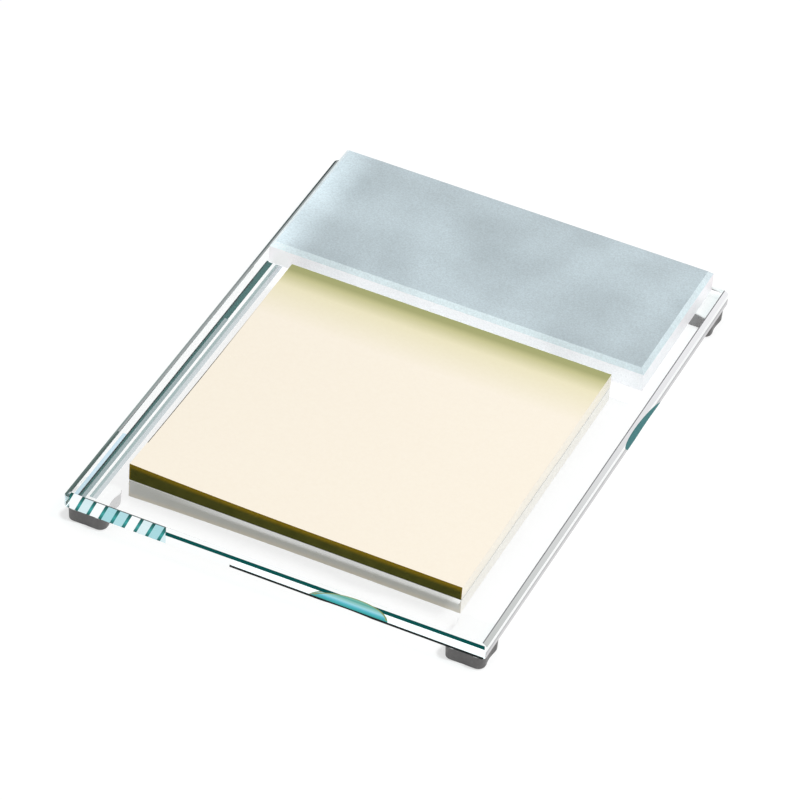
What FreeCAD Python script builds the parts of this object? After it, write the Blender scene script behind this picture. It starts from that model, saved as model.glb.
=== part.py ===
"""Glass memo pad holder: a ground glass plate on four rubber feet, a sand-blasted glass
header block bonded along its rear edge, and a square pad of repositionable notes.

Millimetres. X runs to the right, Y to the rear and Z up. The origin is on the desk, under
the middle of the plate.
"""
import FreeCAD, Part
import math
import os
import Sketcher

Vector = FreeCAD.Vector

doc = FreeCAD.newDocument("MemoPadHolder")

# ---------------------------------------------------------------- driving dimensions
SIZES = [
    # glass plate
    ("plate_width", 96),
    ("plate_depth", 129),
    ("plate_thickness", 4),
    ("plate_arris", 0.8),          # ground and polished bevel round the top face
    ("plate_under_arris", 0.3),    # seamed edge round the underside
    ("plate_corner", 0.6),         # seamed upright corners
    # half-moon finger scoops ground into the underside, at the front and right edges
    ("scoop_radius", 9),
    ("scoop_depth", 0.5),          # at the plate's edge, where each scoop is deepest
    ("front_scoop_from_right", 30.9),
    ("side_scoop_from_front", 83.1),
    # glass header block
    ("header_depth", 39),
    ("header_thickness", 5.5),
    ("header_arris", 1),
    ("header_inset_side", 3.5),
    ("header_inset_rear", 2),
    ("bond_thickness", 0.1),       # ultraviolet-cured adhesive film
    ("bond_inset", 0.3),
    # note pad
    ("note_side", 76),
    ("note_gap", 2),               # clear glass between the pad and the header block
    ("sheet_thickness", 0.1),
    ("sheet_count", 30),
    ("backing_thickness", 0.25),
    ("gum_width", 14),             # band of repositionable gum under a sheet's rear edge
    ("gum_thickness", 0.05),
    ("pad_tape_width", 12),
    ("pad_tape_thickness", 0.15),
    ("pad_tape_inset", 8),
    # rubber feet
    ("foot_side", 9),
    ("foot_height", 3.3),
    ("foot_inset", 0.35),          # from the plate's edges
    ("foot_corner", 1.7),
    ("foot_waist", 0.45),          # how far each side is drawn in between its two lobes
    ("foot_waist_radius", 7),
    ("foot_draft", 2),             # degrees
    ("foot_edge", 0.3),            # bevel round the sole
    ("foot_tape_thickness", 0.3),
    ("foot_tape_margin", 0.1),
]

sheet = doc.addObject("Spreadsheet::Sheet", "Sizes")
for row, (alias, value) in enumerate(SIZES, start=1):
    sheet.set("A%d" % row, alias)
    sheet.set("B%d" % row, "%g" % value)
    sheet.setAlias("B%d" % row, alias)
doc.recompute()

# Levels and places that follow from the driving dimensions, as expressions.
PLATE_BASE = "(Sizes.foot_height + Sizes.foot_tape_thickness)"
PLATE_TOP = "(%s + Sizes.plate_thickness)" % PLATE_BASE
HEADER_FRONT = "(Sizes.plate_depth / 2 - Sizes.header_inset_rear - Sizes.header_depth)"
HEADER_WIDTH = "(Sizes.plate_width - 2 * Sizes.header_inset_side)"
NOTE_REAR = "(%s - Sizes.note_gap)" % HEADER_FRONT
NOTE_FRONT = "(%s - Sizes.note_side)" % NOTE_REAR
BACKING_BASE = "(%s + Sizes.pad_tape_thickness)" % PLATE_TOP
STACK_BASE = "(%s + Sizes.backing_thickness)" % BACKING_BASE
STACK_TOP = "(%s + Sizes.sheet_count * Sizes.sheet_thickness)" % STACK_BASE
FOOT_X = "(Sizes.plate_width / 2 - Sizes.foot_inset - Sizes.foot_side / 2)"
FOOT_Y = "(Sizes.plate_depth / 2 - Sizes.foot_inset - Sizes.foot_side / 2)"

parts = []


def node(obj, label, x="0", y="0", z="0"):
    """Name a finished sub-part and tie its place to the sizes."""
    obj.Label = label
    obj.setExpression("Placement.Base.x", x)
    obj.setExpression("Placement.Base.y", y)
    obj.setExpression("Placement.Base.z", z)
    parts.append(obj)
    return obj


# ---------------------------------------------------------------- helpers for bodies
def sketch_on(body, name, role="XY_Plane"):
    """An empty sketch on one of the body's own planes."""
    sketch = body.newObject("Sketcher::SketchObject", name)
    plane = [f for f in body.Origin.OriginFeatures if f.Role == role][0]
    sketch.AttachmentSupport = [(plane, "")]
    sketch.MapMode = "FlatFace"
    return sketch


def centred_rectangle(sketch, width, depth):
    """A rectangle about the sketch's origin, with its two sizes as expressions."""
    corners = [Vector(-5, -5, 0), Vector(5, -5, 0), Vector(5, 5, 0), Vector(-5, 5, 0)]
    for start, end in zip(corners, corners[1:] + corners[:1]):
        sketch.addGeometry(Part.LineSegment(start, end), False)
    for side in range(4):
        sketch.addConstraint(Sketcher.Constraint("Coincident", side, 2, (side + 1) % 4, 1))
    sketch.addConstraint(Sketcher.Constraint("Horizontal", 0))
    sketch.addConstraint(Sketcher.Constraint("Vertical", 1))
    sketch.addConstraint(Sketcher.Constraint("Horizontal", 2))
    sketch.addConstraint(Sketcher.Constraint("Vertical", 3))
    sketch.addConstraint(Sketcher.Constraint("Symmetric", 0, 1, 1, 2, -1, 1))
    wide = sketch.addConstraint(Sketcher.Constraint("Distance", 0, 10))
    deep = sketch.addConstraint(Sketcher.Constraint("Distance", 1, 10))
    sketch.setExpression("Constraints[%d]" % wide, width)
    sketch.setExpression("Constraints[%d]" % deep, depth)


def pad(body, sketch, length):
    feature = body.newObject("PartDesign::Pad", sketch.Name + "_pad")
    feature.Profile = sketch
    feature.setExpression("Length", length)
    doc.recompute()
    return feature


def edges_where(shape, test):
    """Names of the straight or curved edges whose middle passes the test."""
    names = []
    for number, edge in enumerate(shape.Edges, start=1):
        middle = edge.valueAt((edge.FirstParameter + edge.LastParameter) / 2)
        if test(edge, middle):
            names.append("Edge%d" % number)
    return names


def rim_at(shape, highest):
    """Edges that lie in the shape's highest or lowest plane."""
    levels = [vertex.Z for vertex in shape.Vertexes]
    level = max(levels) if highest else min(levels)
    return edges_where(shape, lambda edge, middle: abs(middle.z - level) < 1e-6)


def is_upright(edge, middle):
    start, end = edge.Vertexes[0].Point, edge.Vertexes[-1].Point
    return abs(start.x - end.x) < 1e-6 and abs(start.y - end.y) < 1e-6


def dress(body, kind, base, edges, size):
    """A chamfer or fillet of the named edges of the last feature."""
    feature = body.newObject("PartDesign::" + kind, base.Name + "_" + kind.lower())
    feature.Base = (base, edges)
    feature.setExpression("Size" if kind == "Chamfer" else "Radius", size)
    base.Visibility = False
    doc.recompute()
    return feature


def ground_slab(body, width, depth, thickness, top_arris, corner=None, under_arris=None):
    """A glass slab: upright corners seamed first, then the arris round each face."""
    outline = sketch_on(body, body.Name + "_outline")
    centred_rectangle(outline, width, depth)
    slab = pad(body, outline, thickness)
    if corner:
        slab = dress(body, "Chamfer", slab, edges_where(slab.Shape, is_upright), corner)
    slab = dress(body, "Chamfer", slab, rim_at(slab.Shape, True), top_arris)
    if under_arris:
        slab = dress(body, "Chamfer", slab, rim_at(slab.Shape, False), under_arris)
    return slab


# ---------------------------------------------------------------- base plate
# Four-millimetre float glass with an arris ground all round. Two half-moon finger scoops are
# ground into its underside, one at the front edge and one at the right edge: each is half of
# a shallow dish, whose middle and deepest point lie on the edge.
plate = doc.addObject("PartDesign::Body", "Plate")
ground_slab(plate, "Sizes.plate_width", "Sizes.plate_depth", "Sizes.plate_thickness",
            "Sizes.plate_arris", "Sizes.plate_corner", "Sizes.plate_under_arris")


def scoop(body, name, x, y):
    """A shallow spherical dish ground up into the underside, with its middle at (x, y)."""
    profile = sketch_on(body, name + "_profile", "XZ_Plane")
    profile.setExpression("AttachmentOffset.Base.x", x)
    profile.setExpression("AttachmentOffset.Base.z", "-(%s)" % y)
    rim, rise = 9.0, 0.5
    radius = (rim ** 2 + rise ** 2) / (2 * rise)
    circle = Part.Circle(Vector(0, rise - radius, 0), Vector(0, 0, 1), radius)
    arc = Part.ArcOfCircle(circle, math.pi / 2 - math.asin(rim / radius), math.pi / 2)
    profile.addGeometry(arc, False)
    profile.addGeometry(Part.LineSegment(Vector(0, rise, 0), Vector(0, 0, 0)), False)
    profile.addGeometry(Part.LineSegment(Vector(0, 0, 0), Vector(rim, 0, 0)), False)
    profile.addConstraint(Sketcher.Constraint("Coincident", 0, 2, 1, 1))
    profile.addConstraint(Sketcher.Constraint("Coincident", 1, 2, 2, 1))
    profile.addConstraint(Sketcher.Constraint("Coincident", 2, 2, 0, 1))
    profile.addConstraint(Sketcher.Constraint("Coincident", 1, 2, -1, 1))
    profile.addConstraint(Sketcher.Constraint("PointOnObject", 1, 1, -2))
    profile.addConstraint(Sketcher.Constraint("PointOnObject", 2, 2, -1))
    profile.addConstraint(Sketcher.Constraint("PointOnObject", 0, 3, -2))
    depth = profile.addConstraint(Sketcher.Constraint("Distance", 1, rise))
    reach = profile.addConstraint(Sketcher.Constraint("Distance", 2, rim))
    profile.setExpression("Constraints[%d]" % depth, "Sizes.scoop_depth")
    profile.setExpression("Constraints[%d]" % reach, "Sizes.scoop_radius")
    groove = body.newObject("PartDesign::Groove", name)
    groove.Profile = profile
    groove.ReferenceAxis = (profile, ["V_Axis"])
    groove.Angle = 360
    doc.recompute()


scoop(plate, "FrontScoop", "Sizes.plate_width / 2 - Sizes.front_scoop_from_right",
      "-Sizes.plate_depth / 2")
scoop(plate, "SideScoop", "Sizes.plate_width / 2",
      "Sizes.side_scoop_from_front - Sizes.plate_depth / 2")
node(plate, "base_plate", z=PLATE_BASE)

# ---------------------------------------------------------------- header block
# A thicker glass block, sand-blasted, with a wide mitred arris. It stands on a film of
# clear adhesive that stops just short of its edges.
header = doc.addObject("PartDesign::Body", "Header")
ground_slab(header, HEADER_WIDTH, "Sizes.header_depth", "Sizes.header_thickness",
            "Sizes.header_arris")
HEADER_Y = "%s + Sizes.header_depth / 2" % HEADER_FRONT
node(header, "header_block", y=HEADER_Y, z="%s + Sizes.bond_thickness" % PLATE_TOP)

bond = doc.addObject("PartDesign::Body", "Bond")
bond_outline = sketch_on(bond, "Bond_outline")
centred_rectangle(bond_outline, "%s - 2 * Sizes.bond_inset" % HEADER_WIDTH,
                  "Sizes.header_depth - 2 * Sizes.bond_inset")
pad(bond, bond_outline, "Sizes.bond_thickness")
node(bond, "header_bond", y=HEADER_Y, z=PLATE_TOP)


# ---------------------------------------------------------------- feet
# Moulded rubber feet, square with a lobe at each corner: every side is drawn in between
# its lobes by a shallow arc. They taper towards the desk, where the rim of the sole is
# bevelled. Each sticks by a layer of white foam tape, die-cut to the same outline.
def waisted(body, side):
    """Draw in the sides of a square body, which leaves a lobe at each of its corners."""
    waist = sketch_on(body, body.Name + "_waist")
    waist.addGeometry(Part.Circle(Vector(0, -11, 0), Vector(0, 0, 1), 7), False)
    waist.addConstraint(Sketcher.Constraint("PointOnObject", 0, 3, -2))
    curve = waist.addConstraint(Sketcher.Constraint("Radius", 0, 7))
    drop = waist.addConstraint(Sketcher.Constraint("DistanceY", 0, 3, -1, 1, 11))
    waist.setExpression("Constraints[%d]" % curve, "Sizes.foot_waist_radius")
    waist.setExpression("Constraints[%d]" % drop,
                        "%s / 2 - Sizes.foot_waist + Sizes.foot_waist_radius" % side)
    cut = body.newObject("PartDesign::Pocket", body.Name + "_waist_cut")
    cut.Profile = waist
    cut.Type = "ThroughAll"
    cut.Midplane = True
    doc.recompute()
    turn = body.newObject("PartDesign::PolarPattern", body.Name + "_waists")
    turn.Originals = [cut]
    turn.Axis = (waist, ["N_Axis"])
    turn.Angle = 360
    turn.Occurrences = 4
    body.Tip = turn
    doc.recompute()


def foot(label, side_x, side_y):
    body = doc.addObject("PartDesign::Body", "Foot")
    outline = sketch_on(body, body.Name + "_outline")
    centred_rectangle(outline, "Sizes.foot_side", "Sizes.foot_side")
    block = pad(body, outline, "Sizes.foot_height")
    block.setExpression("TaperAngle", "-Sizes.foot_draft")
    block.Reversed = True
    doc.recompute()
    corners = edges_where(block.Shape, lambda edge, middle: abs(edge.BoundBox.ZLength) > 1)
    block = dress(body, "Fillet", block, corners, "Sizes.foot_corner")
    dress(body, "Chamfer", block, rim_at(block.Shape, False), "Sizes.foot_edge")
    waisted(body, "Sizes.foot_side")
    place = {"x": "%d * %s" % (side_x, FOOT_X), "y": "%d * %s" % (side_y, FOOT_Y)}
    node(body, label, z="Sizes.foot_height", **place)

    tape = doc.addObject("PartDesign::Body", "FootTape")
    square = sketch_on(tape, tape.Name + "_outline")
    side = "(Sizes.foot_side - 2 * Sizes.foot_tape_margin)"
    centred_rectangle(square, side, side)
    layer = pad(tape, square, "Sizes.foot_tape_thickness")
    dress(tape, "Fillet", layer, edges_where(layer.Shape, is_upright),
          "Sizes.foot_corner - Sizes.foot_tape_margin")
    waisted(tape, side)
    node(tape, label.replace("foot", "foot_tape"), z="Sizes.foot_height", **place)


foot("foot_front_left", -1, -1)
foot("foot_front_right", 1, -1)
foot("foot_rear_left", -1, 1)
foot("foot_rear_right", 1, 1)


# ---------------------------------------------------------------- note pad
# Two strips of tape hold the backing card to the glass. Every sheet is a separate leaf of
# the stack; the top one is a piece of its own, because it peels up about its rear edge,
# with its band of gum on its underside.
def leaf(name, width, depth, thickness):
    box = doc.addObject("Part::Box", name)
    box.setExpression("Length", width)
    box.setExpression("Width", depth)
    box.setExpression("Height", thickness)
    return box


NOTE_LEFT = "-Sizes.note_side / 2"

tapes = []
for side in (-1, 1):
    strip = leaf("PadTape", "Sizes.pad_tape_width",
                 "Sizes.note_side - 2 * Sizes.pad_tape_inset", "Sizes.pad_tape_thickness")
    middle = "%d * (Sizes.note_side / 2 - Sizes.pad_tape_inset - Sizes.pad_tape_width / 2)" % side
    strip.setExpression("Placement.Base.x", "%s - Sizes.pad_tape_width / 2" % middle)
    tapes.append(strip)
pad_tape = doc.addObject("Part::Compound", "PadTapes")
pad_tape.Links = tapes
node(pad_tape, "pad_tape", y="%s + Sizes.pad_tape_inset" % NOTE_FRONT, z=PLATE_TOP)

backing = leaf("Backing", "Sizes.note_side", "Sizes.note_side", "Sizes.backing_thickness")
node(backing, "pad_backing", NOTE_LEFT, NOTE_FRONT, BACKING_BASE)

leaves = []
for number in range(int(sheet.sheet_count)):
    sheet_leaf = leaf("Leaf", "Sizes.note_side", "Sizes.note_side", "Sizes.sheet_thickness")
    sheet_leaf.setExpression("Placement.Base.z", "%d * Sizes.sheet_thickness" % number)
    leaves.append(sheet_leaf)
stack = doc.addObject("Part::Compound", "Stack")
stack.Links = leaves
node(stack, "pad_sheets", NOTE_LEFT, NOTE_FRONT, STACK_BASE)

gum = leaf("Gum", "Sizes.note_side", "Sizes.gum_width", "Sizes.gum_thickness")
node(gum, "top_sheet_gum", NOTE_LEFT, "%s - Sizes.gum_width" % NOTE_REAR, STACK_TOP)

top_leaf = leaf("TopLeaf", "Sizes.note_side", "Sizes.note_side", "Sizes.sheet_thickness")
node(top_leaf, "top_sheet", NOTE_LEFT, NOTE_FRONT, "%s + Sizes.gum_thickness" % STACK_TOP)

# ---------------------------------------------------------------- check and write
doc.recompute()
for obj in doc.Objects:
    if "Invalid" in obj.State or "Error" in obj.State:
        raise RuntimeError("%s failed: %s" % (obj.Label, obj.State))
for part in parts:
    if part.Shape.isNull() or not part.Shape.isValid():
        raise RuntimeError("%s has no valid shape" % part.Label)

os.makedirs("parts", exist_ok=True)
for part in parts:
    part.Shape.exportStep("parts/%s.step" % part.Label)
    box = part.Shape.BoundBox
    print("%-24s solids %2d  volume %9.2f  z %6.2f to %6.2f" % (
        part.Label, len(part.Shape.Solids), part.Shape.Volume, box.ZMin, box.ZMax))
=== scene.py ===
"""Dressed model of a glass memo pad holder: a clear ground plate on four rubber feet, a
sand-blasted header block bonded along its rear edge, and a square pad of notes in front.

Metres. X runs to the right, Y to the rear and Z up; the desk is at Z 0.
"""
import math
import random

import bpy
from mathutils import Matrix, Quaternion, Vector


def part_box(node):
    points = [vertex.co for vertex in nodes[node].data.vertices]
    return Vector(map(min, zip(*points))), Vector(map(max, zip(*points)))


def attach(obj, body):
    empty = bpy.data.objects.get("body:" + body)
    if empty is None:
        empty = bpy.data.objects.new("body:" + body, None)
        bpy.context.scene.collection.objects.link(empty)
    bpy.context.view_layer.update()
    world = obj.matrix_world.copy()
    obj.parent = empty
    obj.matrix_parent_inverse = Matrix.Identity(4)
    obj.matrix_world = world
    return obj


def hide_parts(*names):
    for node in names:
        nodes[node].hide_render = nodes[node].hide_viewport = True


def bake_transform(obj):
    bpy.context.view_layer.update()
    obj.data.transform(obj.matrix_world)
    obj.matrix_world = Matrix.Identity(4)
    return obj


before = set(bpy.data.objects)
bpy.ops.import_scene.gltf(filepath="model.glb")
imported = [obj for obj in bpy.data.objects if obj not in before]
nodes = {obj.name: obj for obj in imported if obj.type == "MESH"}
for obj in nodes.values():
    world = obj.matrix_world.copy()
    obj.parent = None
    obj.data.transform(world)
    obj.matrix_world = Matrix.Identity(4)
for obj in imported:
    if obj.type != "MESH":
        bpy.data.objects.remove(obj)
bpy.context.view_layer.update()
random.seed(7)

# ---------------------------------------------------------------- base plate
# Four-millimetre clear float glass, cut to size, with a ground arris all round and two
# shallow half-moon dishes ground into its underside. Everything else is fixed to it.
MM = 0.001
CLEAR = (1, 1, 1, 1)
GLASS_IOR = 1.52
GLASS_TINT = (0.998, 1.0, 1.0, 1)
GLASS_BODY = (0.30, 0.86, 0.84, 1)     # what a long path through the glass lets through
GLASS_BODY_DENSITY = 0.9               # per metre
THROUGH_FACE = (0.995, 1.0, 1.0, 1)    # tint of the light that falls through a large face
THROUGH_EDGE = (0.86, 0.94, 0.94, 1)   # and through a cut edge
UPRIGHT = 0.3                          # upward lean below which a face counts as upright
LEVEL = 0.95                           # and above which it counts as level
ADHESIVE_REACH = 0.03 * MM             # how near the bond a face counts as wetted
plate_low, plate_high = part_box("base_plate")
bond_low, bond_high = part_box("header_bond")
pad_low, pad_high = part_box("pad_sheets")


def new_material(name):
    """A material with an empty node tree, its nodes and links, and its output node."""
    material = bpy.data.materials.new(name)
    material.use_nodes = True
    tree = material.node_tree
    tree.nodes.clear()
    return material, tree, tree.nodes.new("ShaderNodeOutputMaterial")


def join(tree, *ends):
    """Links given as output, input, output, input and so on."""
    for source, target in zip(ends[::2], ends[1::2]):
        tree.links.new(source, target)


def feed(tree, target, source):
    """Link a socket to an input, or set the input's own value."""
    if isinstance(source, bpy.types.NodeSocket):
        tree.links.new(source, target)
    else:
        target.default_value = source


def add(tree, kind, **settings):
    """A node of that kind, with its properties set and its inputs set or linked."""
    node = tree.nodes.new("ShaderNode" + kind)
    for name, value in settings.items():
        label = name.replace("_", " ")
        if label in node.inputs:
            feed(tree, node.inputs[label], value)
        else:
            setattr(node, name, value)
    return node


def made(tree, kind, **settings):
    """The first output of such a node."""
    return add(tree, kind, **settings).outputs[0]


def dress(name, material):
    """Give a CAD node its finish in every slot that it has."""
    piece = nodes[name]
    piece.data.materials.clear()
    piece.data.materials.append(material)
    return piece


def arithmetic(tree, operation, first, second=None):
    """One step of arithmetic on sockets or plain numbers."""
    step = add(tree, "Math", operation=operation)
    feed(tree, step.inputs[0], first)
    if second is not None:
        feed(tree, step.inputs[1], second)
    return step.outputs[0]


def times(tree, first, *others):
    """The product of all of them."""
    for other in others:
        first = arithmetic(tree, "MULTIPLY", first, other)
    return first


def plus(tree, first, second):
    """The sum of both."""
    return arithmetic(tree, "ADD", first, second)


def minus(tree, first, second):
    """The first less the second."""
    return arithmetic(tree, "SUBTRACT", first, second)


def size_of(tree, value):
    """The value without its sign."""
    return arithmetic(tree, "ABSOLUTE", value)


def above(tree, value, limit):
    """1 where the value is greater than the limit."""
    return arithmetic(tree, "GREATER_THAN", value, limit)


def below(tree, value, limit):
    """1 where the value is less than the limit."""
    return arithmetic(tree, "LESS_THAN", value, limit)


def between(tree, value, low, high):
    """1 where the value lies in that range."""
    return times(tree, above(tree, value, low), below(tree, value, high))


def either(tree, first, second):
    """The greater of two masks, which is 1 where one of them is."""
    return arithmetic(tree, "MAXIMUM", first, second)


def spread(tree, value, low, high, to_low=0.0, to_high=1.0, interpolation="LINEAR"):
    """A range of values stretched over another, and held at its ends."""
    return made(tree, "MapRange", interpolation_type=interpolation, Value=value,
                From_Min=low, From_Max=high, To_Min=to_low, To_Max=to_high)


def ramp(tree, value, stops):
    """The colour at that value, from a list of positions and colours."""
    colours = add(tree, "ValToRGB", Fac=value)
    first, last = colours.color_ramp.elements
    first.position, first.color = stops[0]
    last.position, last.color = stops[-1]
    for position, colour in stops[1:-1]:
        colours.color_ramp.elements.new(position).color = colour
    return colours.outputs[0]


def mixed(tree, where, colour, upper, blend="MIX"):
    """The upper colour where the mask is 1, and the other one elsewhere."""
    return add(tree, "Mix", data_type="RGBA", blend_type=blend, Factor=where, A=colour,
               B=upper).outputs["Result"]


def over(tree, where, shader, upper):
    """The upper shader where the mask is 1, and the other one elsewhere."""
    mix = add(tree, "MixShader")
    join(tree, where, mix.inputs[0], shader, mix.inputs[1], upper, mix.inputs[2])
    return mix.outputs[0]


def inside_box(tree, parts, low, high):
    """1 where the piece's own coordinates lie in that box."""
    return times(tree, *[between(tree, parts[i], low[i], high[i]) for i in range(3)])


def let_lamps_through(tree, glass, output, clear):
    """Light for what lies behind glass passes straight through it, tinted by its colour."""
    path = add(tree, "LightPath").outputs
    lighting = either(tree, path["Is Shadow Ray"], path["Is Diffuse Ray"])
    join(tree, over(tree, lighting, glass, clear), output.inputs["Surface"])


def bonded(tree, parts, glass):
    """Where cured adhesive wets both glasses, light crosses the face as if it were not there."""
    film = Vector((0, 0, ADHESIVE_REACH))
    wetted = inside_box(tree, parts, bond_low - film, bond_high + film)
    return over(tree, wetted, glass, made(tree, "BsdfTransparent", Color=CLEAR))


def gloss(tree, colour):
    """A polished face that throws the white room back in that colour, given or linked, so that
    the colour is a painted reflection.
    """
    return made(tree, "BsdfAnisotropic", Roughness=0.12, Color=colour)


DISH_RADIUS = 9.05 * MM
DISH_TOP = 0.7 * MM                    # how far above the underside a dish may reach
DISH_RIM_FROM = 0.94                   # share of the radius at which the rim starts
DISH_MIRRORS = 0.5                     # share of light thrown back from which a dish mirrors
# painted reflection: the banded blue-green that a dish shows where it mirrors, and its rim
DISH_RIM_REFLECTION = (0.28, 0.38, 0.24, 1)
FRONT_DISH_REFLECTION = ((0.00, (0.13, 0.40, 0.38, 1)), (0.20, (0.045, 0.37, 0.37, 1)),
              (0.32, (0.060, 0.38, 0.46, 1)), (0.46, (0.30, 0.65, 0.74, 1)),
              (0.58, (0.34, 0.66, 0.62, 1)), (0.72, (0.12, 0.45, 0.41, 1)))
SIDE_DISH_REFLECTION = ((0.00, (0.060, 0.200, 0.210, 1)), (0.50, (0.050, 0.180, 0.190, 1)),
             (0.80, (0.075, 0.230, 0.220, 1)))
# centre, the axis that its painted reflection runs along, where it starts and ends, and its
# colours
DISHES = ((17.1 * MM, plate_low.y, "Y", plate_low.y, plate_low.y + DISH_RADIUS, FRONT_DISH_REFLECTION),
          (plate_high.x, 18.6 * MM, "X", plate_high.x, plate_high.x - DISH_RADIUS, SIDE_DISH_REFLECTION))


def dished(tree, place, parts, glass):
    """The two ground dishes: clear at a steep look; where they mirror, a deep blue-green banding
    is painted in as their reflection.
    """
    ground = made(tree, "TexNoise", Vector=place, Scale=1800, Detail=3)
    grain = made(tree, "Bump", Height=ground, Strength=0.15, Distance=0.02 * MM)
    clear = made(tree, "BsdfRefraction", Color=GLASS_TINT, IOR=GLASS_IOR, Roughness=0.0)
    mirrors = above(tree, made(tree, "Fresnel", IOR=GLASS_IOR), DISH_MIRRORS)
    under = below(tree, parts["Z"], plate_low.z + DISH_TOP)
    for x, y, axis, start, end, colours in DISHES:
        reach = add(tree, "VectorMath", operation="DISTANCE")
        reach.inputs[1].default_value = (x, y, plate_low.z)
        join(tree, place, reach.inputs[0])
        away = reach.outputs["Value"]
        reflection_bands = ramp(tree, spread(tree, parts[axis], start, end), colours)
        rimmed = mixed(tree, above(tree, away, DISH_RIM_FROM * DISH_RADIUS), reflection_bands, DISH_RIM_REFLECTION)
        matt = made(tree, "BsdfDiffuse", Color=rimmed, Normal=grain)
        where = times(tree, under, below(tree, away, DISH_RADIUS))
        glass = over(tree, where, glass, over(tree, mirrors, clear, matt))
    return glass


EDGE_DEPTH = 0.79 * MM                 # how far in from a side its lines and facets reach
FRONT_SLIDE, FRONT_CLIMB = 0.49, 1.04  # and how they slide and climb over the arris
SIDE_SLIDE, SIDE_CLIMB = -2.5, 2.53


def leaning(tree, along, depth, height, slide, climb):
    """Place along an edge and height on it, both carried over the arris as one flat strip."""
    return (plus(tree, along, times(tree, depth, slide)),
            plus(tree, height, times(tree, depth, climb)))


# a half moon's centre along the edge, its lean, its radius and its height
FRONT_ARCH = (17.08 * MM, 0.628, 8.82 * MM, 4.225 * MM)
SIDE_ARCH = (18.15 * MM, -1.7, 8.9 * MM, 4.1 * MM)


def in_arch(tree, u, h, arch):
    """1 inside a half moon on the lower edge, its relative radius squared and its height."""
    centre, lean, radius, tall = arch
    off = minus(tree, minus(tree, u, times(tree, h, lean)), centre)
    off = arithmetic(tree, "DIVIDE", off, radius)
    up = arithmetic(tree, "DIVIDE", h, tall)
    reach = plus(tree, times(tree, off, off), times(tree, up, up))
    return below(tree, reach, 1), reach, up


# painted white reflection, laid over the parts of the front edge that carry no other marks
EDGE_WHITE_REFLECTION = (0.97, 0.99, 0.99, 1)
EDGE_TEAL_SHADE = (0.004, 0.080, 0.074, 1)   # painted shade: the deep line along the foot of the arris
# painted shade lines along the foot and near the top of the front edge
DARK_SHADE_LINE = (0.030, 0.036, 0.036, 1)
FINE_SHADE_LINE = (0.16, 0.18, 0.18, 1)
# painted reflection: the half moon, the ground dish seen through the front edge, in blue-green
# bands with a yellowish rim
FRONT_MOON_REFLECTION = ((0.00, (0.10, 0.40, 0.36, 1)), (0.26, (0.050, 0.37, 0.36, 1)),
              (0.41, (0.105, 0.48, 0.58, 1)), (0.54, (0.33, 0.67, 0.76, 1)),
              (0.67, (0.28, 0.57, 0.53, 1)), (0.80, (0.12, 0.41, 0.36, 1)),
              (0.95, (0.24, 0.52, 0.41, 1)))
MOON_RIM_REFLECTION = (0.28, 0.34, 0.14, 1)
MOON_RIM_FROM = 0.90                   # relative radius squared at which the rim starts
MOON_RIM_FOOT = 0.3                    # and the share of its height
# painted reflection of the left face inside the glass: dark blue-green stripes between bright
# pale facets
FACET_DARK_STRIPES = ((0.0, (0.020, 0.090, 0.085, 1)), (0.45, (0.055, 0.36, 0.35, 1)),
               (0.70, (0.035, 0.20, 0.19, 1)), (1.0, (0.015, 0.080, 0.072, 1)))
FACET_REFLECTIONS = ((0.0, (0.97, 0.99, 1.0, 1)), (0.35, (0.95, 0.99, 1.0, 1)),
               (0.60, (0.66, 0.84, 0.88, 1)), (0.85, (0.40, 0.69, 0.74, 1)))
FACET_PITCH = 2.73 * MM
FACET_START = -45.5 * MM               # where the facets are counted from
FACET_SLANT = 0.40                     # how far a dark stripe leans along the edge for its height
STRIPE_SHARE = 0.27                     # of the pitch
EDGE_TALL = 4.6 * MM
EDGE_FOOT = 0.31 * MM                  # below this height the edge stays clear
FACETS = (-46.6 * MM, -24.2 * MM)      # from and to, along the edge
# where the front edge takes the painted white reflection: along this part, and above a height
WHITE_REFLECTION_PART = (-24.3 * MM, -9.0 * MM)
WHITE_REFLECTION_FROM = 3.2 * MM                  # height above which all of the rest takes the painted white reflection
DEEP_LINE = (2.45 * MM, 3.50 * MM)     # heights of the deep line where it starts to rise
DEEP_REACH = (-24.3 * MM, 47.9 * MM)
DEEP_START, DEEP_RISE = -23 * MM, 0.0089
LOW_LINE, LOW_REACH = (0.30 * MM, 0.92 * MM), (-9.5 * MM, 47.8 * MM)
TOP_LINE, TOP_REACH = (4.55 * MM, 5.0 * MM), (-43.0 * MM, -24.3 * MM)


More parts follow.
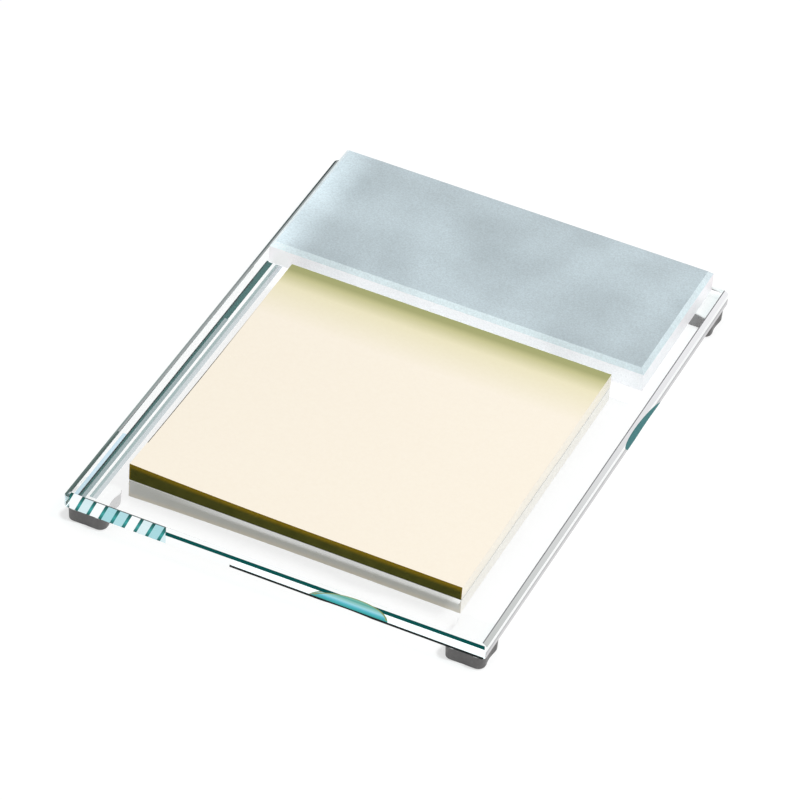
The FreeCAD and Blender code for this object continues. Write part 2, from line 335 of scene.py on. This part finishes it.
def front_edge(tree, parts, glass):
    """The front edge's painted reflections and shade: bright facets at its left end, the foot
    lines and the half moon.
    """
    depth = minus(tree, parts["Y"], plate_low.y)
    u, h = leaning(tree, parts["X"], depth, minus(tree, parts["Z"], plate_low.z),
                   FRONT_SLIDE, FRONT_CLIMB)
    on_edge = times(tree, below(tree, depth, EDGE_DEPTH), above(tree, h, EDGE_FOOT))
    shader = glass

    def paint(shader, finish, *where):
        """That finish laid on the edge where all of those masks are 1."""
        return over(tree, times(tree, on_edge, *where), shader, finish)

    # painted white reflection where the edge carries no other marks
    white_reflection = either(tree, times(tree, above(tree, h, WHITE_REFLECTION_FROM), above(tree, u, WHITE_REFLECTION_PART[0])),
                   between(tree, u, *WHITE_REFLECTION_PART))
    shader = paint(shader, gloss(tree, EDGE_WHITE_REFLECTION), white_reflection)
    # painted reflection: bright facets with slanting dark stripes of painted shade
    along = minus(tree, minus(tree, u, times(tree, h, FACET_SLANT)), FACET_START)
    number = arithmetic(tree, "DIVIDE", along, FACET_PITCH)
    dark_stripe = below(tree, arithmetic(tree, "FRACT", number), STRIPE_SHARE)
    chance = made(tree, "TexWhiteNoise", noise_dimensions="1D",
                  W=arithmetic(tree, "FLOOR", number))
    stripe_shade = ramp(tree, arithmetic(tree, "DIVIDE", h, EDGE_TALL), FACET_DARK_STRIPES)
    facets = over(tree, dark_stripe, gloss(tree, ramp(tree, chance, FACET_REFLECTIONS)),
                  gloss(tree, stripe_shade))
    shader = paint(shader, facets, between(tree, u, *FACETS))
    # painted shade in the deep line at the foot of the arris, the half moon's painted
    # reflection, and a painted dark shade line along the foot
    rise = times(tree, minus(tree, u, DEEP_START), DEEP_RISE)
    shader = paint(shader, gloss(tree, EDGE_TEAL_SHADE),
                   between(tree, minus(tree, h, rise), *DEEP_LINE),
                   between(tree, u, *DEEP_REACH))
    inside, reach, up = in_arch(tree, u, h, FRONT_ARCH)
    rim = times(tree, above(tree, reach, MOON_RIM_FROM), above(tree, up, MOON_RIM_FOOT))
    moon = mixed(tree, rim, ramp(tree, up, FRONT_MOON_REFLECTION), MOON_RIM_REFLECTION)
    shader = paint(shader, gloss(tree, moon), inside)
    for colour, heights, lengths in ((DARK_SHADE_LINE, LOW_LINE, LOW_REACH),
                                     (FINE_SHADE_LINE, TOP_LINE, TOP_REACH)):
        shader = paint(shader, made(tree, "BsdfDiffuse", Color=colour),
                       between(tree, h, *heights), between(tree, u, *lengths))
    return shader


# painted reflection of the side dish, seen through the right edge
SIDE_MOON_REFLECTION = (0.080, 0.215, 0.222, 1)
ARRIS_FROM = 47.2 * MM                 # distance from the middle at which a side's arris starts
# painted shade on the side arrises, from the front of the plate to its rear
ARRIS_RIGHT_SHADE = ((0.0, (0.56, 0.58, 0.57, 1)), (0.35, (0.68, 0.69, 0.69, 1)),
               (0.65, (0.80, 0.80, 0.82, 1)), (1.0, (0.88, 0.88, 0.90, 1)))
ARRIS_LEFT_SHADE = ((0.0, (0.10, 0.15, 0.14, 1)), (0.12, (0.14, 0.19, 0.18, 1)),
              (0.25, (0.28, 0.34, 0.33, 1)), (0.60, (0.26, 0.29, 0.29, 1)),
              (0.75, (0.10, 0.13, 0.13, 1)), (1.0, (0.05, 0.07, 0.07, 1)))


def side_edges(tree, parts, glass, on_arris):
    """The ground arrises of both sides in painted grey shade, greyer towards one end, and the
    right half moon's painted reflection.
    """
    shader = glass
    along = spread(tree, parts["Y"], plate_low.y, plate_high.y)
    for side, colours in ((above(tree, parts["X"], ARRIS_FROM), ARRIS_RIGHT_SHADE),
                          (below(tree, parts["X"], -ARRIS_FROM), ARRIS_LEFT_SHADE)):
        shader = over(tree, times(tree, on_arris, side), shader,
                      gloss(tree, ramp(tree, along, colours)))
    depth = minus(tree, plate_high.x, parts["X"])
    u, h = leaning(tree, parts["Y"], depth, minus(tree, parts["Z"], plate_low.z),
                   SIDE_SLIDE, SIDE_CLIMB)
    inside = in_arch(tree, u, h, SIDE_ARCH)[0]
    return over(tree, times(tree, below(tree, depth, EDGE_DEPTH), inside), shader,
                gloss(tree, SIDE_MOON_REFLECTION))


# colours of painted shade lines, painted reflection bands and the painted shadow along the edges
CORNER_LINE = (0.10, 0.14, 0.13, 1)
SOFT_LINE = (0.36, 0.38, 0.38, 1)
RIGHT_LINE = (0.24, 0.24, 0.25, 1)
PALE_LINE = (0.54, 0.54, 0.55, 1)
PALE_BAND = (0.66, 0.65, 0.66, 1)
WHITE_REFLECTION_BAND = (0.92, 0.93, 0.93, 1)
LEFT_SHADOW_DEEP = (0.038, 0.140, 0.133, 1)
LEFT_SHADOW_GREY = (0.32, 0.40, 0.41, 1)
LEFT_SHADE_SOFT = (0.40, 0.50, 0.50, 1)
LEFT_SHADE_FAINT = (0.62, 0.67, 0.69, 1)
# painted light, let up through the underside in a paler blue
LEFT_BLUE = (0.60, 0.77, 0.87, 1)
# each line's low and high corners in millimetres, a little past the plate's own faces, and its
# painted colour
EDGE_LINES = (
    # painted shade lines along the left and rear sides and both sides of the top
    ((-48.1, -64.6, 6.30), (-47.9, 64.6, 6.80), EDGE_TEAL_SHADE),         # left side
    ((-47.25, -64.6, 7.50), (-46.80, 64.6, 7.70), SOFT_LINE),       # left of the top
    ((-47.25, -64.6, 7.50), (-46.80, -42.0, 7.70), CORNER_LINE),
    ((-48.1, 64.25, 6.40), (48.1, 64.6, 7.05), EDGE_TEAL_SHADE),          # rear side
    ((46.95, -64.6, 7.45), (47.30, 64.6, 7.70), RIGHT_LINE),        # right of the top
    ((47.50, -64.6, 7.05), (47.60, 64.6, 7.15), SOFT_LINE),         # middle of its arris
    # painted reflection bands on the right side
    ((47.9, -64.6, 5.60), (48.1, 64.6, 6.80), WHITE_REFLECTION_BAND),          # right side, from above
    ((47.9, -64.6, 4.75), (48.1, 64.6, 5.60), PALE_LINE),
    ((47.9, -64.6, 3.90), (48.1, 64.6, 4.75), PALE_BAND),
    # painted shadow of the left cut edge on the desk, seen through the underside
    ((-46.10, -62.5, 3.50), (-45.30, 26.0, 3.75), LEFT_SHADOW_DEEP),       # left of the underside
    ((-45.30, 4.0, 3.50), (-44.55, 26.0, 3.75), LEFT_SHADOW_DEEP),
    ((-45.30, -62.5, 3.50), (-44.40, 4.0, 3.75), LEFT_SHADOW_GREY),
    # two fainter bands of painted shade beside it
    ((-43.80, -61.0, 3.50), (-43.10, 26.0, 3.75), LEFT_SHADE_SOFT),
    ((-43.10, -61.0, 3.50), (-42.15, 26.0, 3.75), LEFT_SHADE_FAINT))
BLUE_STRIP = ((-46.95, -62.5, 3.50), (-46.10, -40.0, 3.75))


def in_strip(tree, parts, low, high):
    """1 inside a box whose corners are given in millimetres."""
    return inside_box(tree, parts, [value * MM for value in low], [value * MM for value in high])


def edge_lines(tree, parts, glass):
    """The fine and deep lines of painted shade, painted shadow and painted reflection along the
    other edges, seen from above or through the glass.
    """
    shader = glass
    for low, high, colour in EDGE_LINES:
        shader = over(tree, in_strip(tree, parts, low, high), shader, gloss(tree, colour))
    # painted light: a paler blue let up through the underside beside the front left corner
    return over(tree, in_strip(tree, parts, *BLUE_STRIP), shader,
                made(tree, "BsdfTransparent", Color=LEFT_BLUE))


MIRROR_SHARE = 0.5                     # how much of the pad the polished top throws back
MIRROR_SIDES = (-41.1 * MM, 46.8 * MM)  # it mirrors clear of the left band and the header
LIGHT_LINE = (1.7 * MM, 0.5 * MM)      # before the pad its mirror fades out over this way
LIGHT_LINE_END = 0.1 * MM              # and is back this far under the pad
LIGHT_LINE_GROWS = 32 * MM             # from the pad's left side to here the line grows


def mirror_share(tree, parts, inside, lean):
    """How much the plate's top mirrors, which is nothing in a light line before the pad."""
    on_top = times(tree, minus(tree, 1, inside), above(tree, lean["Z"], LEVEL))
    field = times(tree, between(tree, parts["X"], *MIRROR_SIDES),
                  below(tree, parts["Y"], bond_low.y))
    nearing = spread(tree, parts["Y"], pad_low.y - LIGHT_LINE[0], pad_low.y - LIGHT_LINE[1],
                     interpolation="SMOOTHSTEP")
    growing = spread(tree, parts["X"], pad_low.x, pad_low.x + LIGHT_LINE_GROWS,
                     interpolation="SMOOTHSTEP")
    line = times(tree, nearing, growing, below(tree, parts["X"], pad_high.x),
                 below(tree, parts["Y"], pad_low.y + LIGHT_LINE_END))
    return times(tree, on_top, field, minus(tree, 1, line), MIRROR_SHARE)


WINDOW_LEFT = -47.15 * MM              # beside the header the left edge is open to the light
WINDOW_FRONT = 23 * MM                 # that comes along inside the plate


def clear_glass():
    """Float glass with its polished top, ground dishes and arrises, and its cut edges, with
    painted reflections, shade and shadow along them.
    """
    material, tree, output = new_material("clear_float_glass")
    place = add(tree, "TexCoord").outputs["Object"]
    parts = add(tree, "SeparateXYZ", Vector=place).outputs
    lie = add(tree, "NewGeometry").outputs
    lean = add(tree, "SeparateXYZ", Vector=lie["True Normal"]).outputs
    level = size_of(tree, lean["Z"])
    join(tree, made(tree, "VolumeAbsorption", Color=GLASS_BODY, Density=GLASS_BODY_DENSITY),
         output.inputs["Volume"])
    shader = made(tree, "BsdfPrincipled", Base_Color=GLASS_TINT, IOR=GLASS_IOR,
                  Roughness=0.0, Transmission_Weight=1)
    shader = edge_lines(tree, parts, dished(tree, place, parts, shader))
    shader = side_edges(tree, parts, shader, between(tree, level, UPRIGHT, LEVEL))
    shader = front_edge(tree, parts, shader)
    shader = over(tree, mirror_share(tree, parts, lie["Backfacing"], lean), shader,
                  made(tree, "BsdfAnisotropic", Color=CLEAR, Roughness=0.0))
    window = times(tree, lie["Backfacing"], below(tree, parts["X"], WINDOW_LEFT),
                   above(tree, parts["Y"], WINDOW_FRONT))
    shader = over(tree, window, shader, made(tree, "BsdfTransparent", Color=CLEAR))
    let_lamps_through(tree, bonded(tree, parts, shader), output,
                      over(tree, below(tree, level, LEVEL),
                           made(tree, "BsdfTransparent", Color=THROUGH_FACE),
                           made(tree, "BsdfTransparent", Color=THROUGH_EDGE)))
    return material


dress("base_plate", clear_glass())

# ---------------------------------------------------------------- header bond
# A tenth of a millimetre of ultraviolet-cured clear adhesive, which wets both glasses.
# It is run in under the block and cured through the glass.
CURED_ADHESIVE = (0.99, 0.995, 0.995, 1)
bond_finish, tree, output = new_material("cured_adhesive")
join(tree, made(tree, "BsdfTransparent", Color=CURED_ADHESIVE), output.inputs["Surface"])
dress("header_bond", bond_finish)

# ---------------------------------------------------------------- header block
# A thicker glass block, sand-blasted all over, with a wide arris round its top; painted light
# and shade make its sides pale and its top a soft grey-blue. It stands on the film of adhesive
# along the plate's rear edge.
# painted light and shade: the one frosted glass coloured by the lean of each face
FROST_AND_SHADE = ((UPRIGHT, (0.88, 0.835, 0.85, 1)),      # by upward lean: its sides,
         (0.7, (0.62, 0.74, 0.78, 1)),           # its arris
         (LEVEL, (0.475, 0.565, 0.605, 1)))      # and its top
FROST_GLOW = (0.95, 0.93, 0.95, 1)
THROUGH_FROST = (0.92, 0.94, 0.95, 1)
FROST_OPEN = (0.85, 0.12)                        # share of light let in by sides and top
GRAIN_RANGE, GRAIN_DEPTH = (0.3, 0.7), (0.84, 1.14)
CLOUD_RANGE, CLOUD_DEPTH = (0.35, 0.65), (0.87, 1.09)
LIGHT_END_REACH = 10 * MM                               # reach of the painted light at the left end
LIGHT_END_TONE = (1.6, 0.98)
header_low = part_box("header_block")[0]


def frosted_glass():
    """Sand-blasted glass, blotchy and fine-grained, in painted light and shade by the lean of
    each face, and painted paler at its left end.
    """
    material, tree, output = new_material("sand_blasted_glass")
    place = add(tree, "TexCoord").outputs["Object"]
    parts = add(tree, "SeparateXYZ", Vector=place).outputs
    lie = add(tree, "NewGeometry").outputs
    lean = add(tree, "SeparateXYZ", Vector=lie["True Normal"]).outputs
    grain = made(tree, "TexNoise", Vector=place, Scale=2600, Detail=3, Roughness=0.7)
    cloud = made(tree, "TexNoise", Vector=place, Scale=60, Detail=1.5)
    # painted light at the left end, times the blotches and the grain
    tone_and_light = times(tree, spread(tree, parts["X"], header_low.x, header_low.x + LIGHT_END_REACH,
                              *LIGHT_END_TONE, interpolation="SMOOTHSTEP"),
                 spread(tree, cloud, *CLOUD_RANGE, *CLOUD_DEPTH),
                 spread(tree, grain, *GRAIN_RANGE, *GRAIN_DEPTH))
    shaded_frost = made(tree, "VectorMath", operation="SCALE",
                   Vector=ramp(tree, lean["Z"], FROST_AND_SHADE), Scale=tone_and_light)
    glass = made(tree, "BsdfPrincipled", IOR=GLASS_IOR, Roughness=0.42, Base_Color=shaded_frost,
                 Transmission_Weight=spread(tree, lean["Z"], UPRIGHT, LEVEL, *FROST_OPEN),
                 Normal=made(tree, "Bump", Height=grain, Strength=0.35, Distance=0.04 * MM))
    glow = over(tree, below(tree, size_of(tree, lean["Z"]), UPRIGHT),
                made(tree, "BsdfTranslucent", Color=FROST_GLOW),
                made(tree, "BsdfTransparent", Color=FROST_GLOW))
    frosted = over(tree, lie["Backfacing"], glass, glow)
    let_lamps_through(tree, bonded(tree, parts, frosted), output,
                      made(tree, "BsdfTransparent", Color=THROUGH_FROST))
    return material


dress("header_block", frosted_glass())

# ---------------------------------------------------------------- feet
# Moulded rubber feet with a lobe at each corner, dark grey and slightly satin. Each is
# held by thin white adhesive foam, cut to its outline.
FEET = ("front_left", "front_right", "rear_left", "rear_right")
RUBBER = ((0, (0.090, 0.087, 0.086, 1)), (1, (0.155, 0.150, 0.148, 1)))
FOAM = ((0, (0.97, 0.97, 0.97, 1)), (1, (1.0, 1.0, 1.0, 1)))
AIR = 0.02 * MM                        # between a dry adhesive face and the glass


def moulded_rubber():
    """Dark rubber, finely mottled by its mould."""
    material, tree, output = new_material("moulded_rubber")
    mottle = made(tree, "TexNoise", Vector=add(tree, "TexCoord").outputs["Object"],
                  Scale=1500, Detail=4, Roughness=0.65)
    skin = made(tree, "Bump", Height=mottle, Strength=0.3, Distance=0.05 * MM)
    join(tree, made(tree, "BsdfPrincipled", Base_Color=ramp(tree, mottle, RUBBER),
                    Roughness=0.46, Normal=skin), output.inputs["Surface"])
    return material


def adhesive_foam():
    """White foam with fine closed cells."""
    material, tree, output = new_material("adhesive_foam")
    cells = made(tree, "TexVoronoi", Vector=add(tree, "TexCoord").outputs["Object"],
                 Scale=3500)
    join(tree, made(tree, "BsdfPrincipled", Base_Color=ramp(tree, cells, FOAM),
                    Roughness=0.8), output.inputs["Surface"])
    return material


def leave_air(piece):
    """A dry adhesive face bears on the glass with a breath of air between them."""
    shrink = piece.modifiers.new("air", "DISPLACE")
    shrink.strength = -AIR
    shrink.mid_level = 0


rubber = moulded_rubber()
foam = adhesive_foam()
for corner in FEET:
    dress("foot_" + corner, rubber)
    leave_air(dress("foot_tape_" + corner, foam))

# ---------------------------------------------------------------- pad tape
# Two strips of clear double-sided tape hold the pad's backing card to the glass.
# They peel off clean, so that a new pad can be laid down.
TAPE = (0.80, 0.79, 0.72, 1)
TAPE_HAZE = (0.25, 0.45)
tape_finish, tree, output = new_material("clear_tape")
haze = made(tree, "TexNoise", Vector=add(tree, "TexCoord").outputs["Object"], Scale=400,
            Detail=2)
join(tree, made(tree, "BsdfPrincipled", Base_Color=TAPE,
                Roughness=spread(tree, haze, 0, 1, *TAPE_HAZE)), output.inputs["Surface"])
leave_air(dress("pad_tape", tape_finish))

# ---------------------------------------------------------------- pad backing
# A square of grey-cream pulp board under the sheets, the pad's stiff last leaf.
# It is cut with them, and its edges carry the same painted shade and light as theirs.
PULP = ((0, (0.42, 0.40, 0.31, 1)), (1, (0.60, 0.57, 0.46, 1)))
# painted shade on edges facing front and back, painted light on edges facing the sides
BOARD_FRONT_SHADE = (0.055, 0.058, 0.004, 1)
BOARD_SIDE_LIGHT = (0.97, 0.93, 0.85, 1)
FACES_IT = 0.5                         # lean above which a face looks along that axis
board_finish, tree, output = new_material("pulp_board")
pulp = made(tree, "TexNoise", Vector=add(tree, "TexCoord").outputs["Object"], Scale=700,
            Detail=6, Roughness=0.7)
lie = add(tree, "NewGeometry").outputs
lean = add(tree, "SeparateXYZ", Vector=lie["True Normal"]).outputs
board = mixed(tree, above(tree, size_of(tree, lean["Y"]), FACES_IT), ramp(tree, pulp, PULP),
              BOARD_FRONT_SHADE)
board = mixed(tree, above(tree, size_of(tree, lean["X"]), FACES_IT), board, BOARD_SIDE_LIGHT)
join(tree, made(tree, "BsdfPrincipled", Base_Color=board, Roughness=0.9),
     output.inputs["Surface"])
dress("pad_backing", board_finish)

# ---------------------------------------------------------------- note sheets
# Thin yellow paper, guillotined as one block, so that the leaves differ by hairs. The pad
# has been handled: its front left corner has sprung up a little, more towards the top.
PAPER = ((0, (0.935, 0.850, 0.715, 1)), (1, (0.985, 0.915, 0.790, 1)))
# painted shade on the cut edges that face front and back, painted light on those at the sides
PAPER_EDGE_SHADE = ((0, (0.057, 0.059, 0.009, 1)), (1, (0.110, 0.105, 0.020, 1)))
PAPER_EDGE_GOLDEN = (0.26, 0.175, 0.010, 1)
PAPER_EDGE_SIDE_LIGHT = (0.99, 0.94, 0.86, 1)
PAPER_RIM = (0.10, 0.09, 0.07, 1)
# painted shade: the paper greener and darker towards its rear edge, beside the header
REAR_SHADE = ((0.0, (1, 1, 1, 1)), (0.60, (0.88, 0.89, 0.73, 1)), (0.81, (0.61, 0.64, 0.40, 1)),
              (0.90, (0.42, 0.46, 0.25, 1)), (1.0, (0.40, 0.45, 0.23, 1)))
REAR_SHADE_REACH = 18 * MM                 # how far the painted green shade at the rear spreads
FRONT_NICK = 0.10 * MM                 # the front arris of a leaf, in the same painted shade as its edge
RIM_WIDE = 0.17 * MM                   # the shaded rim along the left edge
RIM_FROM = 8 * MM                      # starts this far from the front
RIM_FULL, RIM_GONE = 30 * MM, 68 * MM  # and fades out between these
GOLDEN_FULL, GOLDEN_GONE = 0.35 * MM, 1.25 * MM    # how far below the top the edges turn golden brown
GOLDEN_ENDS = 0.25 * MM                  # and how far in from the block's corners
SHEETS = 30
SHEET = (pad_high.z - pad_low.z) / SHEETS
PAPER_SHARE = 0.99                     # of a sheet's pitch; the rest is air
SPRING = 0.9 * MM                      # lift of the sprung corner at the top of the pad
SPRING_REACH = 46 * MM                 # how far the lift spreads from the corner
STRAY = 0.015 * MM                     # how far a leaf may stand from the block's side
CELLS = 20
CREASE = math.radians(40)              # a paper's bend stays smooth up to this angle
CUT_ACROSS, CUT_SIDE = 1.0, 2.0        # the mark on front and rear cuts, and on side cuts


def sprung(x, y, height):
    """Lift of a leaf at (x, y), for a leaf at that share of the pad's height."""
    away = math.hypot(x - pad_low.x, y - pad_low.y) / SPRING_REACH
    return SPRING * height * max(0.0, 1 - away) ** 2


def leaf_faces(points, faces, low, high, base, thickness, height):
    """Add one leaf, a closed thin slab of square cells, to a list of points and faces."""
    first = len(points)
    row = CELLS + 1
    for level in (0, thickness):
        for j in range(row):
            for i in range(row):
                x = low.x + (high.x - low.x) * i / CELLS
                y = low.y + (high.y - low.y) * j / CELLS
                points.append((x, y, base + level + sprung(x, y, height)))
    top = first + row * row
    for j in range(CELLS):
        for i in range(CELLS):
            a = j * row + i
            corners = (a, a + 1, a + row + 1, a + row)
            faces.append([top + c for c in corners])
            faces.append([first + c for c in reversed(corners)])
    rim = list(range(CELLS)) + [j * row + CELLS for j in range(CELLS)]
    rim += [CELLS * row + i for i in range(CELLS, 0, -1)]
    rim += [j * row for j in range(CELLS, 0, -1)]
    for a, b in zip(rim, rim[1:] + rim[:1]):
        faces.append([first + a, first + b, top + b, top + a])


def cut_mark(face):
    """What kind of face it is: flat, or cut across or along the side."""
    if abs(face.normal.x) > FACES_IT:
        return CUT_SIDE
    return CUT_ACROSS if abs(face.normal.z) < FACES_IT else 0.0


def mesh_piece(name, points, faces, material):
    """A piece that remembers where each point rests and how each face is cut."""
    mesh = bpy.data.meshes.new(name)
    mesh.from_pydata(points, [], faces)
    mesh.update()
    at_rest = mesh.attributes.new("at_rest", "FLOAT_VECTOR", "POINT")
    at_rest.data.foreach_set("vector", [value for point in points for value in point])
    cut_face = mesh.attributes.new("cut_face", "FLOAT", "FACE")
    cut_face.data.foreach_set("value", [cut_mark(face) for face in mesh.polygons])
    mesh.polygons.foreach_set("use_smooth", [True] * len(mesh.polygons))
    mesh.set_sharp_from_angle(angle=CREASE)
    mesh.materials.append(material)
    piece = bpy.data.objects.new(name, mesh)
    bpy.context.scene.collection.objects.link(piece)
    return piece


def note_paper():
    """Pale yellow paper with a faint fibre; its cut edges carry painted shade, darker and
    greener in front, and painted light at the sides.
    """
    material, tree, output = new_material("note_paper")
    place = add(tree, "Attribute", attribute_name="at_rest").outputs["Vector"]
    cut = add(tree, "Attribute", attribute_name="cut_face").outputs["Fac"]
    x, y, z = add(tree, "SeparateXYZ", Vector=place).outputs
    fibre = made(tree, "TexNoise", Vector=place, Scale=1200, Detail=5, Roughness=0.7)
    rear_shade = ramp(tree, spread(tree, y, pad_high.y - REAR_SHADE_REACH, pad_high.y), REAR_SHADE)
    face = mixed(tree, 1, ramp(tree, fibre, PAPER), rear_shade, "MULTIPLY")
    faded = spread(tree, y, pad_low.y + RIM_GONE, pad_low.y + RIM_FULL,
                   interpolation="SMOOTHSTEP")
    rim = times(tree, below(tree, x, pad_low.x + RIM_WIDE), above(tree, y, pad_low.y + RIM_FROM),
                faded)
    face = mixed(tree, rim, face, PAPER_RIM)
    # the painted shade on the top leaves' edges gives way to golden brown, also near the block's
    # corners and where the corner has sprung
    near = arithmetic(tree, "DIVIDE", minus(tree, pad_low.x + SPRING_REACH, x), SPRING_REACH)
    near = arithmetic(tree, "MAXIMUM", near, 0)
    golden = spread(tree, minus(tree, z, times(tree, near, near, SPRING)),
                  pad_high.z - GOLDEN_GONE, pad_high.z - GOLDEN_FULL)
    golden = either(tree, golden, above(tree, size_of(tree, x), pad_high.x - GOLDEN_ENDS))
    streaks = made(tree, "TexNoise", Vector=place, Scale=260, Detail=3)
    edge = mixed(tree, golden, ramp(tree, streaks, PAPER_EDGE_SHADE), PAPER_EDGE_GOLDEN)
    edge = mixed(tree, above(tree, cut, (CUT_ACROSS + CUT_SIDE) / 2), edge, PAPER_EDGE_SIDE_LIGHT)
    is_edge = either(tree, above(tree, cut, CUT_ACROSS / 2),
                     below(tree, y, pad_low.y + FRONT_NICK))
    tooth = made(tree, "Bump", Height=fibre, Strength=0.12, Distance=0.03 * MM)
    join(tree, made(tree, "BsdfPrincipled", Base_Color=mixed(tree, is_edge, face, edge),
                    Roughness=0.86, Specular_IOR_Level=0.04, Normal=tooth),
         output.inputs["Surface"])
    return material


paper = note_paper()
points, faces = [], []
for number in range(SHEETS):
    stray = Vector((random.uniform(-STRAY, STRAY), random.uniform(-STRAY, STRAY), 0))
    leaf_faces(points, faces, pad_low + stray, pad_high + stray,
               pad_low.z + number * SHEET, PAPER_SHARE * SHEET, number / SHEETS)
sheets = mesh_piece("note_sheets", points, faces, paper)
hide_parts("pad_sheets")
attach(sheets, "note_pad")

# ---------------------------------------------------------------- top sheet and its gum
# The first note peels up from its front edge. A band of tacky gum under its rear edge
# holds it to the sheet below, and bends with it.
GUM = (0.86, 0.80, 0.62, 1)
top_low, top_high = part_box("top_sheet")
gum_low, gum_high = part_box("top_sheet_gum")

points, faces = [], []
leaf_faces(points, faces, top_low, top_high, top_low.z, top_high.z - top_low.z, 1)
top_note = mesh_piece("top_note", points, faces, paper)
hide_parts("top_sheet")
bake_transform(top_note)

gum_finish, tree, output = new_material("note_gum")
beads = made(tree, "TexVoronoi", Vector=add(tree, "TexCoord").outputs["Object"], Scale=2400)
bead_height = made(tree, "Bump", Height=beads, Strength=0.4, Distance=0.04 * MM)
join(tree, made(tree, "BsdfPrincipled", Base_Color=GUM, Roughness=0.4, Normal=bead_height),
     output.inputs["Surface"])
points, faces = [], []
leaf_faces(points, faces, gum_low, gum_high, gum_low.z, gum_high.z - gum_low.z, 1)
gum_band = mesh_piece("gum_band", points, faces, gum_finish)
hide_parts("top_sheet_gum")
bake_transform(gum_band)

# ---------------------------------------------------------------- desk, light and camera
# A plain white desk under an overcast white studio, with one lamp overhead to the right.
# The desk is drawn white to the eye, and keeps the object's shadow.
DESK = 6.0
DESK_SHADE = 0.50                      # what the desk reflects to the eye
DESK_BOUNCE = 0.30                     # and what it adds to the light it throws back up
DESK_GLOW = 0.55
WORLD_LIGHT = 0.55
LAMP_POWER = 9.8
LAMP_SIZE = 0.25
LAMP_PLACE = Vector((0.66, 0.0, 1.22))
CAMERA_PLACE = Vector((0.30487, -0.73828, 0.69036))
CAMERA_AIM = Vector((0.00042, -0.00418, 0.00760))
CAMERA_ROLL = math.radians(4.29)
CAMERA_LENS = 222.27                   # millimetres, on a sensor of this width
CAMERA_SENSOR = 36
CAMERA_NEAR, CAMERA_FAR = 0.05, 50


def in_sight(tree):
    """1 for what the eye meets, straight, in a mirror or through glass."""
    path = add(tree, "LightPath").outputs
    return either(tree, either(tree, path["Is Camera Ray"], path["Is Glossy Ray"]),
                  path["Is Transmission Ray"])


def stand(name, data, place, turn=None):
    """An object at that place with that turn, linked to the scene."""
    placed = bpy.data.objects.new(name, data)
    placed.location = place
    if turn is not None:
        placed.rotation_mode = "QUATERNION"
        placed.rotation_quaternion = turn
    bpy.context.scene.collection.objects.link(placed)
    return placed


half = DESK / 2
desk_mesh = bpy.data.meshes.new("desk")
desk_mesh.from_pydata([(-half, -half, 0), (half, -half, 0), (half, half, 0), (-half, half, 0)],
                      [], [(0, 1, 2, 3)])
desk = stand("desk", desk_mesh, (0, 0, 0))
desk_finish, tree, output = new_material("desk_white")
bounce = times(tree, add(tree, "LightPath").outputs["Is Diffuse Ray"], DESK_BOUNCE)
matt = made(tree, "BsdfDiffuse", Color=plus(tree, bounce, DESK_SHADE))
glow = made(tree, "Emission", Strength=times(tree, in_sight(tree), DESK_GLOW))
both = add(tree, "AddShader")
join(tree, matt, both.inputs[0], glow, both.inputs[1], both.outputs[0], output.inputs["Surface"])
desk_mesh.materials.append(desk_finish)

world = bpy.data.worlds.new("studio")
bpy.context.scene.world = world
world.use_nodes = True
tree = world.node_tree
tree.nodes.clear()
join(tree, over(tree, in_sight(tree),
                made(tree, "Background", Color=CLEAR, Strength=WORLD_LIGHT),
                made(tree, "Background", Color=CLEAR, Strength=1)),
     tree.nodes.new("ShaderNodeOutputWorld").inputs["Surface"])

lamp = bpy.data.lights.new("overhead", "AREA")
lamp.energy = LAMP_POWER
lamp.size = LAMP_SIZE
stand("overhead", lamp, LAMP_PLACE, (-LAMP_PLACE).to_track_quat("-Z", "Y"))

camera = bpy.data.cameras.new("camera")
camera.lens = CAMERA_LENS
camera.sensor_width = CAMERA_SENSOR
camera.clip_start = CAMERA_NEAR
camera.clip_end = CAMERA_FAR
aimed = (CAMERA_AIM - CAMERA_PLACE).to_track_quat("-Z", "Y")
scene = bpy.context.scene
scene.camera = stand("camera", camera, CAMERA_PLACE,
                     aimed @ Quaternion((0, 0, 1), CAMERA_ROLL))
scene.view_settings.view_transform = "Standard"
# light crosses many faces of glass on its way out
scene.cycles.max_bounces = 32
scene.cycles.glossy_bounces = 24
scene.cycles.transmission_bounces = 24
scene.cycles.transparent_max_bounces = 24
